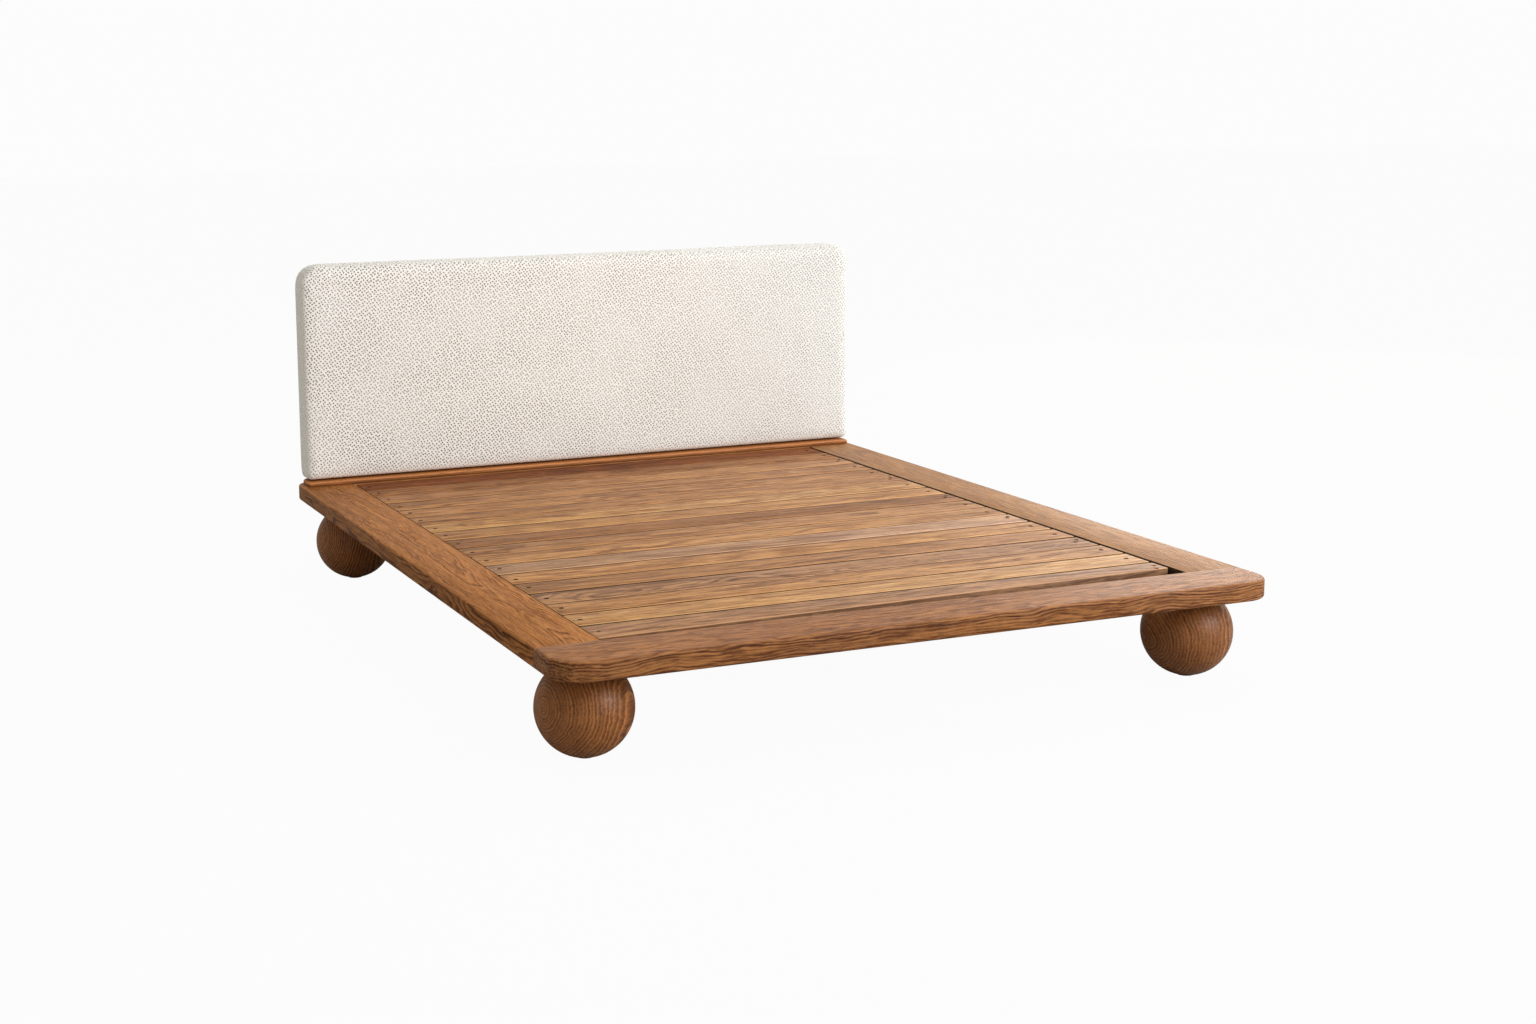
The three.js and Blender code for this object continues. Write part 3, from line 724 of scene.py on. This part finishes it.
# each ball's heart line, the point of its surface that the line goes through, its shade (a brightness
# factor: painted light and shade for how the light falls on that ball), the width of its rings, and how
# strongly its dark rings and its pale threads show
BALL_HEARTS = {
    "front_left": ((-0.68, -0.73, 0.05), (-0.955, -0.26, 0.13), 1.03, 0.0070, 0.34, 0.95),
    "front_right": ((-0.60, -0.79, -0.10), (-0.95, 0.27, -0.06), 0.87, 0.0084, 0.42, 1.10),
    "rear_left": ((-0.62, -0.76, 0.16), (-0.97, 0.10, 0.20), 1.08, 0.0070, 0.45, 0.80),
    "rear_right": ((-0.66, 0.74, 0.10), (-0.94, 0.22, 0.18), 0.90, 0.0070, 0.45, 0.80),
}
for end, side in CORNERS:
    place = f"{end}_{side}"
    low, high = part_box(f"ball_foot_{place}")
    cx, cy = (low.x + high.x) / 2, (low.y + high.y) / 2
    start = math.asin((low.z - BALL_RADIUS) / BALL_RADIUS)
    stop = math.asin((high.z - BALL_RADIUS) / BALL_RADIUS)
    arc = []
    for k in range(ARC_STEPS + 1):
        angle = start + (stop - start) * k / ARC_STEPS
        arc.append((BALL_RADIUS * math.cos(angle), BALL_RADIUS + BALL_RADIUS * math.sin(angle)))
    floor_of_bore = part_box(f"foot_stud_{place}")[0].z - PLAY
    flat_bottom, flat_top = arc[0][0], arc[-1][0]
    profile = [(0.0, low.z), (flat_bottom * 0.97, low.z), *arc[1:-1], (flat_top * 0.985, high.z),
               (STUD_BORE, high.z), (STUD_BORE, floor_of_bore), (0.0, floor_of_bore)]
    axis, spot, shade, ring, late, thread = BALL_HEARTS[place]
    pith = Vector((cx, cy, BALL_RADIUS)) + BALL_RADIUS * Vector(spot).normalized()
    # painted light and shade: each ball's tones times its shade factor
    tones = [brighter(tone, shade) for tone in BALL_TONES]
    material = wood(f"oak_ball_{place}", *tones, axis=axis, pith=tuple(pith), ring=ring, wander=0.0026,
                    wave=1.1, late=late, seed=70.0 + 5 * cx + 11 * cy, roughness=0.42, relief=0.0002,
                    streak=0.3, flecks=0.28, fleck_size=(7.0, 150.0), thread=thread, calm=0.0, fibres=0.2,
                    gloss=0.25)
    make_object(f"ball_{place}", mesh_from(turned(profile, (cx, cy, 0.0), 96), place), material,
                stands_for=(f"ball_foot_{place}",))

# ---------------------------------------------------------------- headboard ledge
ledge_low, ledge_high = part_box("headboard_ledge")
LEDGE_CORNERS, LEDGE_RIM = (0.009, 0.009, 0.040, 0.040), 0.0055
ledge = rounded_slab((ledge_low.x, ledge_low.y), (ledge_high.x, ledge_high.y), LEDGE_CORNERS,
                     ledge_low.z, ledge_high.z, LEDGE_RIM, 10, 5)
# painted highlight on the ledge's rounded arrises
material = wood("oak_ledge", *LEDGE_TONES, grain="X", pith=(0, 1.02, 0.30), ring=0.005, wander=0.01,
                late=0.5, seed=90.0, rim=0.5, roughness=0.45)
make_object("board_headboard_ledge", mesh_from(ledge, "ledge"), material,
            stands_for=("headboard_ledge",))

# ---------------------------------------------------------------- headboard pad
pad_low, pad_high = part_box("headboard_pad")
core_low, core_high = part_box("headboard_core")
PAD_LEFT, PAD_RIGHT = pad_low.x + 0.005, pad_high.x + 0.008
PAD_PROUD = 0.0095                    # furthest that the right end stands past the CAD pad
PAD_CORNERS = (0.016, 0.016, 0.056, 0.056)
PAD_BACK_RIM, PAD_FRONT_RIM = 0.010, 0.015
PAD_FLAT_FRONT, PAD_FLAT_FOOT = 0.0035, 0.0012    # left for the cover to swell into
PAD_VOXEL, PAD_VOXEL_QUICK = 0.007, 0.012
PAD_MOVE = 0.0022                     # most that a point moves as the cover is inflated
PAD_FRAMES = 20
PAD_CROWN, PAD_CROWN_WIDTH = 0.006, 0.045
PAD_SWELL, PAD_PUCKER, PAD_RIPPLED = 0.0022, 0.0006, 0.030
STAPLED_DEPTH = 0.012
LEDGE_CLEARANCE = 0.0002
PANEL_ROOM, RECESS_DEPTH = 0.002, 0.1002


def pad_start():
    """The foam in its cover, before the cloth is inflated; the recess for the panel is cut after."""
    depth = pad_high.y - pad_low.y
    bm = rounded_slab((PAD_LEFT, pad_low.z + PAD_FLAT_FOOT), (PAD_RIGHT, pad_high.z), PAD_CORNERS, 0.0,
                      depth - PAD_FLAT_FRONT, PAD_BACK_RIM, 12, 8, top_edge=PAD_FRONT_RIM)
    # drawn in XZ and thickened along -Y from the back
    bm.transform(Matrix.Translation((0, pad_high.y, 0)) @ Matrix.Rotation(math.pi / 2, 4, "X"))
    for v in bm.verts:
        side = max(0.0, (abs(v.co.x) - pad_high.x + PAD_CROWN_WIDTH) / PAD_CROWN_WIDTH)
        v.co.y += PAD_CROWN * side * side * max(0.0, (pad_high.y - v.co.y) / depth)
    return bm


pad_mesh = mesh_from(pad_start(), "headboard_cover")
pad = make_object("headboard_cover", pad_mesh, FABRIC, stands_for=("headboard_pad",))
span = core_high - core_low
recess_tool = helper("recess_cutter", block(
    ((core_low.x + core_high.x) / 2, core_low.y + 0.05, (core_low.z + core_high.z) / 2),
    (span.x + PANEL_ROOM, RECESS_DEPTH, span.z + PANEL_ROOM)))
cut_with(pad, [recess_tool])
drop([recess_tool])


def fine_cover(piece):
    modifier = piece.modifiers.new("remesh", "REMESH")
    modifier.mode = "VOXEL"
    modifier.voxel_size = PAD_VOXEL
    apply_modifiers(piece)


def inflate(piece):
    """Cloth under light pressure, held where it is stapled to the panel behind."""
    rest = [v.co.copy() for v in piece.data.vertices]
    held = piece.vertex_groups.new(name="held")
    held.add([i for i, co in enumerate(rest) if co.y > pad_high.y - STAPLED_DEPTH], 1.0, "REPLACE")
    cloth = piece.modifiers.new("cloth", "CLOTH")
    settings = cloth.settings
    settings.quality = 5
    settings.mass = 0.4
    settings.tension_stiffness = 22
    settings.compression_stiffness = 22
    settings.shear_stiffness = 10
    settings.bending_stiffness = 2.5
    settings.use_pressure = True
    settings.uniform_pressure_force = 2.5
    settings.vertex_group_mass = "held"
    settings.effector_weights.gravity = 0.0
    cloth.point_cache.frame_start, cloth.point_cache.frame_end = 1, PAD_FRAMES
    for step in range(1, PAD_FRAMES + 1):
        bpy.context.scene.frame_set(step)
    moved = piece.evaluated_get(bpy.context.evaluated_depsgraph_get()).data
    goals = [v.co.copy() for v in moved.vertices]
    piece.modifiers.clear()
    bpy.context.scene.frame_set(1)
    for v, start, goal in zip(piece.data.vertices, rest, goals):
        step = goal - start
        if step.length > PAD_MOVE:
            step *= PAD_MOVE / step.length
        v.co = start + step
    piece.data.update()


fine_cover(pad)
inflate(pad)


def settle(piece):
    """Soft ripples over the front, and flats where the cover meets the ledge, its back and its ends."""
    for v in piece.data.vertices:
        co = v.co
        front = max(0.0, min(1.0, (pad_low.y + PAD_RIPPLED - co.y) / PAD_RIPPLED))
        swell = noise.noise(Vector((co.x * 3.1, 5.0, co.z * 3.7))) * PAD_SWELL
        pucker = noise.noise(Vector((co.x * 22.0, 9.0, co.z * 6.0))) * PAD_PUCKER
        co.y += front * (swell + pucker)
        co.y = min(co.y, pad_high.y)
        co.z = max(co.z, ledge_high.z + LEDGE_CLEARANCE)
        co.x = max(min(co.x, pad_high.x + PAD_PROUD), pad_low.x)
    piece.data.update()


settle(pad)
smooth = pad.modifiers.new("smooth", "SUBSURF")
smooth.levels = 1
smooth.render_levels = 1
apply_modifiers(pad)
pad.data.shade_smooth()

# ---------------------------------------------------------------- dust cover, staples and small hardware
COVER_LAP = 0.007
COVER_THICKNESS = 0.00018
COVER_SLACK, COVER_TIGHT, COVER_GIVE = 0.0011, 0.008, 0.05
STAPLE_PITCH, STAPLE_INSET = 0.052, 0.007
STAPLE_LONG, STAPLE_HIGH, STAPLE_WIRE = 0.0105, 0.0009, 0.0010
cover_plane = pad_high.y + 0.0001
cover_low = (core_low.x - COVER_LAP, core_low.z - COVER_LAP)
cover_high = (core_high.x + COVER_LAP, core_high.z + COVER_LAP)


def dust_sheet(columns=190, rows=64):
    """Thin cloth stretched over the back of the panel, slack between its staples."""
    bm = bmesh.new()
    layers = []
    for lift in (0.0, COVER_THICKNESS):
        layer = []
        for j in range(rows + 1):
            z = cover_low[1] + (cover_high[1] - cover_low[1]) * j / rows
            line = []
            for i in range(columns + 1):
                x = cover_low[0] + (cover_high[0] - cover_low[0]) * i / columns
                edge = min(x - cover_low[0], cover_high[0] - x, z - cover_low[1], cover_high[1] - z)
                inward = max(0.0, min(1.0, (edge - COVER_TIGHT) / COVER_GIVE))
                fold = 0.6 + 0.5 * noise.noise(Vector((x * 2.2, 3.0, z * 9.0))) \
                    + 0.25 * noise.noise(Vector((x * 14.0, 7.0, z * 5.0)))
                line.append(bm.verts.new((x, cover_plane + lift - COVER_SLACK * inward * fold, z)))
            layer.append(line)
        layers.append(layer)
    for k, layer in enumerate(layers):
        for j in range(rows):
            for i in range(columns):
                corners = (layer[j][i], layer[j][i + 1], layer[j + 1][i + 1], layer[j + 1][i])
                bm.faces.new(corners if k == 0 else corners[::-1])
    front, back = layers
    rim = [(0, i) for i in range(columns)] + [(j, columns) for j in range(rows)] \
        + [(rows, columns - i) for i in range(columns)] + [(rows - j, 0) for j in range(rows)]
    for (j0, i0), (j1, i1) in zip(rim, rim[1:] + rim[:1]):
        bm.faces.new((front[j0][i0], back[j0][i0], back[j1][i1], front[j1][i1]))
    return bm


cover_size = (cover_high[0] - cover_low[0], cover_high[1] - cover_low[1])
dust_cover = make_object("dust_cover", mesh_from(dust_sheet(), "dust_cover"), DUST_CLOTH,
                         stands_for=("headboard_back_cover",))


def staple(x, z, size):
    bm = block((x, cover_plane + 0.0005, z), size)
    ease(bm, 0.0002, 60.0)
    return bm


def spaced(start, length):
    count = round(length / STAPLE_PITCH)
    return [start + length * (k + 0.5) / count for k in range(count)]


staples = []
strap_boxes = [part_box(f"headboard_strap_{side}") for side in ("left", "right")]
for row in (cover_low[1] + STAPLE_INSET, cover_high[1] - STAPLE_INSET):
    for x in spaced(cover_low[0], cover_size[0]):
        if not any(low.x - 0.008 < x < high.x + 0.008 and row < high.z for low, high in strap_boxes):
            staples.append(staple(x, row + random.uniform(-0.001, 0.001),
                                  (STAPLE_LONG, STAPLE_HIGH, STAPLE_WIRE)))
for column in (cover_low[0] + STAPLE_INSET, cover_high[0] - STAPLE_INSET):
    for z in spaced(cover_low[1], cover_size[1]):
        staples.append(staple(column + random.uniform(-0.001, 0.001), z,
                              (STAPLE_WIRE, STAPLE_HIGH, STAPLE_LONG)))
make_object("dust_cover_staples", mesh_from(combined(staples), "staples"), ZINC)


def button_head(place, radius, axis, height=0.0026):
    """Domed screw head with a round socket, standing on the face at place."""
    return turned([(0.0, -0.003), (radius * 0.5, -0.003), (radius * 0.5, 0.0), (radius, 0.0),
                   (radius, height * 0.25), (radius * 0.82, height * 0.78), (radius * 0.5, height),
                   (radius * 0.42, height), (radius * 0.40, height * 0.45), (0.0, height * 0.45)],
                  place, 24, axis)


STRAP_HOLES = (0.244, 0.354, 0.412, 0.464)
ANGLE_THICKNESS, LEDGER_SCREWS, LEDGER_END = 0.003, 8, 0.06
HANGER_SCREW_X = 0.04765
PLATE_SCREW_INSET = 0.014
strap_screws = [button_head(((low.x + high.x) / 2, high.y, z), 0.0078, "Y")
                for low, high in strap_boxes for z in STRAP_HOLES]
make_object("strap_screws", mesh_from(combined(strap_screws), "strap_screws"), ZINC)

frame_screws = []
for side, axis in (("left", "X"), ("right", "-X")):
    low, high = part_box(f"slat_ledger_{side}")
    face = low.x + ANGLE_THICKNESS if side == "left" else high.x - ANGLE_THICKNESS
    for k in range(LEDGER_SCREWS):
        y = low.y + LEDGER_END + (high.y - low.y - 2 * LEDGER_END) * k / (LEDGER_SCREWS - 1)
        frame_screws.append(button_head((face, y, low.z + 0.011), 0.0052, axis))
for end, axis in (("foot", "Y"), ("head", "-Y")):
    low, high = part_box(f"beam_hanger_{end}")
    face = low.y + ANGLE_THICKNESS if end == "foot" else high.y - ANGLE_THICKNESS
    for x in (-HANGER_SCREW_X, HANGER_SCREW_X):
        frame_screws.append(button_head((x, face, UNDERSIDE + 0.010), 0.0048, axis))
make_object("frame_screws", mesh_from(combined(frame_screws), "frame_screws"), ZINC)

plate_screws = []
for end, side in CORNERS:
    low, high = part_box(f"foot_plate_{end}_{side}")
    for x in (low.x + PLATE_SCREW_INSET, high.x - PLATE_SCREW_INSET):
        for y in (low.y + PLATE_SCREW_INSET, high.y - PLATE_SCREW_INSET):
            plate_screws.append(button_head((x, y, low.z), 0.0050, "-Z", 0.0020))
make_object("plate_screws", mesh_from(combined(plate_screws), "plate_screws"), ZINC)

# ---------------------------------------------------------------- levellers
# half sections, as (radius, height): the foot, its hexagon, and the screw from one height to another
DISC = [(0.0, 0.0), (0.0182, 0.0), (0.0198, 0.0006), (0.0208, 0.0020), (0.0210, 0.0036), (0.0204, 0.0052),
        (0.0180, 0.0068), (0.0128, 0.0079), (0.0062, 0.0081), (0.0059, 0.0100)]
HEXAGON = [(0.0, 0.0070), (0.0090, 0.0070), (0.0090, 0.0090), (0.0083, 0.0096), (0.0, 0.0096)]
THREAD_START, THREAD_END, THREAD_PITCH = 0.0100, 0.0580, 0.00175
CREST, ROOT = 0.0060, 0.0053
SCREW_TIP = [(0.0052, 0.0600), (0.0040, 0.0620), (0.0, 0.0620)]
for end in ("front", "rear"):
    low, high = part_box(f"leveller_{end}")
    centre = ((low.x + high.x) / 2, (low.y + high.y) / 2, 0.0)
    profile = list(DISC)
    z = THREAD_START
    while z < THREAD_END:
        profile += [(CREST, z + 0.0004), (CREST, z + 0.0007), (ROOT, z + 0.0013), (ROOT, z + 0.0016)]
        z += THREAD_PITCH
    screw = turned(profile + SCREW_TIP, centre, 40)
    boss = turned(HEXAGON, centre, 6)
    make_object(f"levelling_foot_{end}", mesh_from(combined([screw, boss]), f"leveller_{end}", SOFT_ANGLE),
                ZINC, body=f"leveller_{end}", stands_for=(f"leveller_{end}",))


# ---------------------------------------------------------------- carried-over CAD nodes
def paint(name, material):
    mesh = nodes[name].data
    mesh.materials.clear()
    mesh.materials.append(material)


def pine(name, grain, seed, pith):
    return wood(name, *PINE_TONES, grain=grain, ring=0.0042, wander=0.006, late=0.45, seed=seed, pith=pith,
                roughness=0.62, streak=0.3)


paint("centre_beam", pine("pine_beam", "Y", 5.0, (0.06, 0, 0.15)))
for end, y in (("front", -0.4), ("rear", 0.4)):
    paint(f"centre_leg_{end}", pine(f"pine_leg_{end}", "Z", 40.0 + y, (0.05, y + 0.04, 0)))
for name in ("slat_ledger_left", "slat_ledger_right", "beam_hanger_foot", "beam_hanger_head",
             "headboard_strap_left", "headboard_strap_right"):
    paint(name, BLACK_STEEL)
for end, side in CORNERS:
    paint(f"foot_plate_{end}_{side}", ZINC)
    paint(f"foot_stud_{end}_{side}", ZINC)
    paint(f"foot_glide_{end}_{side}", FELT)
paint("headboard_core", wood("plywood", *PLY_TONES, grain="X", pith=(0, 0.2, 0.6), ring=0.02,
                             wander=0.03, late=0.3, seed=66.0, roughness=0.7))


# ---------------------------------------------------------------- floor, world and lights
def floor_material():
    """Near-white to the camera, with a faint shadow; to other rays it is a plain pale floor."""
    material, g = new_material("studio_floor")
    seen = g.node("ShaderNodeLightPath").outputs["Is Camera Ray"]
    glow = g.node("ShaderNodeEmission", {"Color": (FLOOR_WHITE,) * 3 + (1.0,), "Strength": 1.0}).outputs[0]
    matt = g.node("ShaderNodeBsdfDiffuse", {"Color": (FLOOR_SHADOW,) * 3 + (1.0,)}).outputs[0]
    both = g.node("ShaderNodeAddShader")
    g.tree.links.new(glow, both.inputs[0])
    g.tree.links.new(matt, both.inputs[1])
    bounce = g.node("ShaderNodeBsdfDiffuse", {"Color": FLOOR_BOUNCE}).outputs[0]
    out = g.node("ShaderNodeOutputMaterial")
    g.tree.links.new(g.blend_shaders(seen, bounce, both.outputs[0]), out.inputs[0])
    return material


floor_bm = bmesh.new()
bmesh.ops.create_grid(floor_bm, x_segments=2, y_segments=2, size=FLOOR_HALF)
floor_mesh = mesh_from(floor_bm, "studio_floor")
floor = bpy.data.objects.new("studio_floor", floor_mesh)
floor_mesh.materials.append(floor_material())
bpy.context.scene.collection.objects.link(floor)
floor.location.z = -FLOOR_BELOW
floor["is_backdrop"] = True

world = bpy.data.worlds.new("studio")
world.use_nodes = True
bpy.context.scene.world = world
g = Graph(world.node_tree)
direction = g.node("ShaderNodeTexCoord").outputs["Generated"]
toward_right = g.vector("DOT_PRODUCT", direction, (0.86, 0.18, 0.40))
level = g.smooth(toward_right, -0.8, 0.9, 0.46, 0.66)
warmth = g.mix(g.smooth(toward_right, -0.8, 0.5), (1.0, 0.91, 0.74, 1.0), (1.0, 0.965, 0.90, 1.0))
room = g.node("ShaderNodeBackground", {"Color": warmth, "Strength": level}).outputs[0]
shown = g.node("ShaderNodeBackground", {"Color": (BACKGROUND,) * 3 + (1.0,), "Strength": 1.0}).outputs[0]
seen = g.node("ShaderNodeLightPath").outputs["Is Camera Ray"]
out = g.node("ShaderNodeOutputWorld")
g.tree.links.new(g.blend_shaders(seen, room, shown), out.inputs[0])


def softbox(name, place, target, size, watts, colour):
    data = bpy.data.lights.new(name, "AREA")
    data.shape = "RECTANGLE"
    data.size, data.size_y = size
    data.energy = watts
    data.color = colour
    light = bpy.data.objects.new(name, data)
    light.location = place
    light.rotation_mode = "QUATERNION"
    light.rotation_quaternion = (Vector(target) - Vector(place)).to_track_quat("-Z", "Y")
    bpy.context.scene.collection.objects.link(light)


softbox("key", place=(3.4, -5.2, 2.7), target=(0.0, 0.2, 0.3), size=(2.6, 2.6), watts=285.0,
        colour=(1.0, 1.0, 1.0))
softbox("right", place=(3.0, 0.7, 3.0), target=(0.6, 0.1, 0.2), size=(2.0, 2.0), watts=46.0,
        colour=(1.0, 0.98, 0.94))
softbox("back_right", place=(5.4, 3.6, 1.8), target=(0.3, -0.2, 0.2), size=(3.2, 2.4), watts=110.0,
        colour=(1.0, 0.93, 0.85))
softbox("top", place=(0.0, 0.0, 4.8), target=(0.0, -0.2, 0.2), size=(3.5, 3.5), watts=80.0,
        colour=(1.0, 0.99, 0.96))

# ---------------------------------------------------------------- size
low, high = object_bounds()
